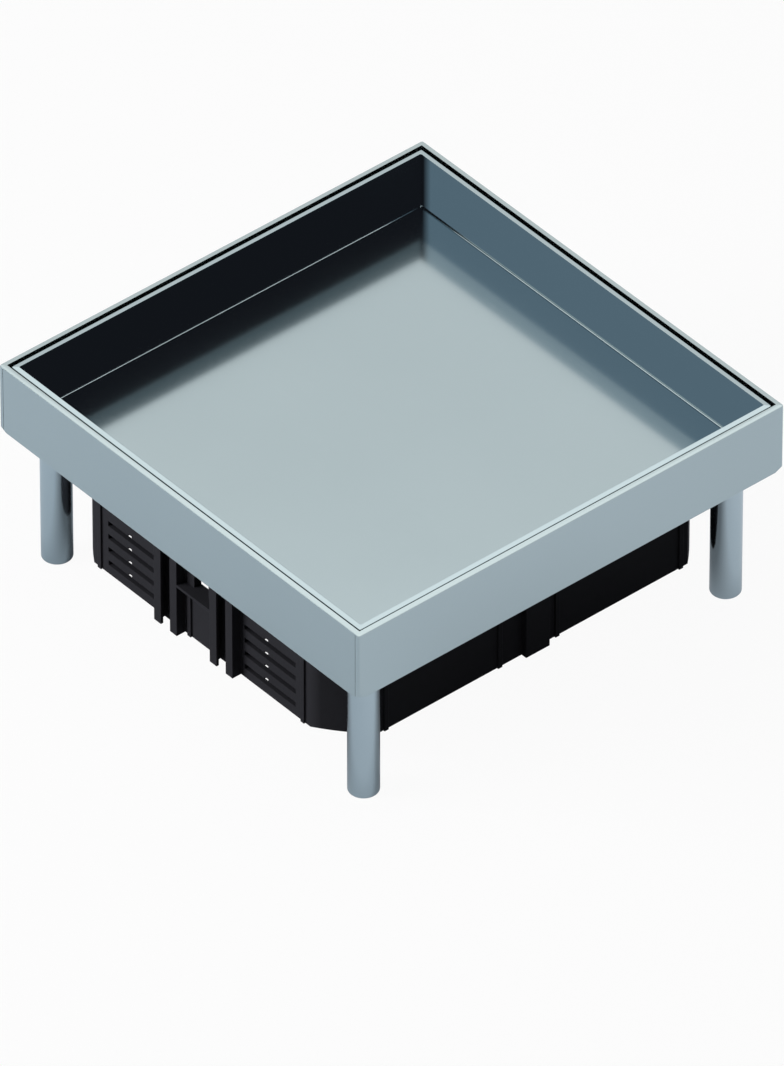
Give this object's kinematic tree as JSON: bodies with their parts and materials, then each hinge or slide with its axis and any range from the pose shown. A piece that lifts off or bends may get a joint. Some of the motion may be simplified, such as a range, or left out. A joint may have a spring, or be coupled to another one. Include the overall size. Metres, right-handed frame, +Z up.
{
  "type": "floor box cover with device carrier",
  "caption": "Square in-floor service box: stainless frame with a recessed tray lid for tile infill, on levelling legs, with an open black device carrier hung below.",
  "frame": {"origin": "bottom centre of the part, on the plane of the leg ends", "axes": "+Z up, +X to the right along the frame's front side, +Y to the back; the picture looks at the front right corner"},
  "size_m": [0.243, 0.243, 0.1064],
  "materials": {
    "satin_steel": "satin stainless sheet",
    "leg_steel": "drawn stainless tube",
    "seal_rubber": "matt black",
    "black_plastic": "fine-grained black moulding",
    "zinc_sheet": "zinc-coated sheet",
    "zinc_plate": "bright zinc plate",
    "brass": "turned brass"
  },
  "bodies": {
    "housing": {"frame": "satin_steel", "lid_tray": "satin_steel", "tray_seal": "seal_rubber", "carrier": "black_plastic", "device_support_left": "zinc_sheet", "device_support_right": "zinc_sheet", "support_screws": "zinc_plate", "fixing_studs": "zinc_plate", "fixing_washers": "zinc_plate", "fixing_nuts": "zinc_plate", "earth_stud": "brass", "earth_washers": "brass", "earth_nut": "brass", "leg_bushes": "brass", "leg_front_left": "leg_steel", "leg_front_right": "leg_steel", "leg_back_left": "leg_steel", "leg_back_right": "leg_steel"},
    "foot_front_left": {"foot_front_left": "black_plastic"},
    "spindle_front_left": {"spindle_front_left": "zinc_plate"},
    "foot_front_right": {"foot_front_right": "black_plastic"},
    "spindle_front_right": {"spindle_front_right": "zinc_plate"},
    "foot_back_left": {"foot_back_left": "black_plastic"},
    "spindle_back_left": {"spindle_back_left": "zinc_plate"},
    "foot_back_right": {"foot_back_right": "black_plastic"},
    "spindle_back_right": {"spindle_back_right": "zinc_plate"}
  },
  "joints": [
    {"name": "foot_slide_front_left", "type": "slide", "parent": "housing", "child": "foot_front_left", "axis": [0, 0, -1], "range_m": [0, 0.025]},
    {"name": "spindle_turn_front_left", "type": "hinge", "parent": "foot_front_left", "child": "spindle_front_left", "pos_m": [-0.1042, -0.1042, 0], "axis": [0, 0, -1], "range_deg": [0, 7200]},
    {"name": "foot_slide_front_right", "type": "slide", "parent": "housing", "child": "foot_front_right", "axis": [0, 0, -1], "range_m": [0, 0.025]},
    {"name": "spindle_turn_front_right", "type": "hinge", "parent": "foot_front_right", "child": "spindle_front_right", "pos_m": [0.1042, -0.1042, 0], "axis": [0, 0, -1], "range_deg": [0, 7200]},
    {"name": "foot_slide_back_left", "type": "slide", "parent": "housing", "child": "foot_back_left", "axis": [0, 0, -1], "range_m": [0, 0.025]},
    {"name": "spindle_turn_back_left", "type": "hinge", "parent": "foot_back_left", "child": "spindle_back_left", "pos_m": [-0.1042, 0.1042, 0], "axis": [0, 0, -1], "range_deg": [0, 7200]},
    {"name": "foot_slide_back_right", "type": "slide", "parent": "housing", "child": "foot_back_right", "axis": [0, 0, -1], "range_m": [0, 0.025]},
    {"name": "spindle_turn_back_right", "type": "hinge", "parent": "foot_back_right", "child": "spindle_back_right", "pos_m": [0.1042, 0.1042, 0], "axis": [0, 0, -1], "range_deg": [0, 7200]}
  ],
  "couplings": [
    {"joint": "foot_slide_front_left", "follows": "spindle_turn_front_left", "m_per_rad": 0.00019894},
    {"joint": "foot_slide_front_right", "follows": "spindle_turn_front_right", "m_per_rad": 0.00019894},
    {"joint": "foot_slide_back_left", "follows": "spindle_turn_back_left", "m_per_rad": 0.00019894},
    {"joint": "foot_slide_back_right", "follows": "spindle_turn_back_right", "m_per_rad": 0.00019894}
  ]
}
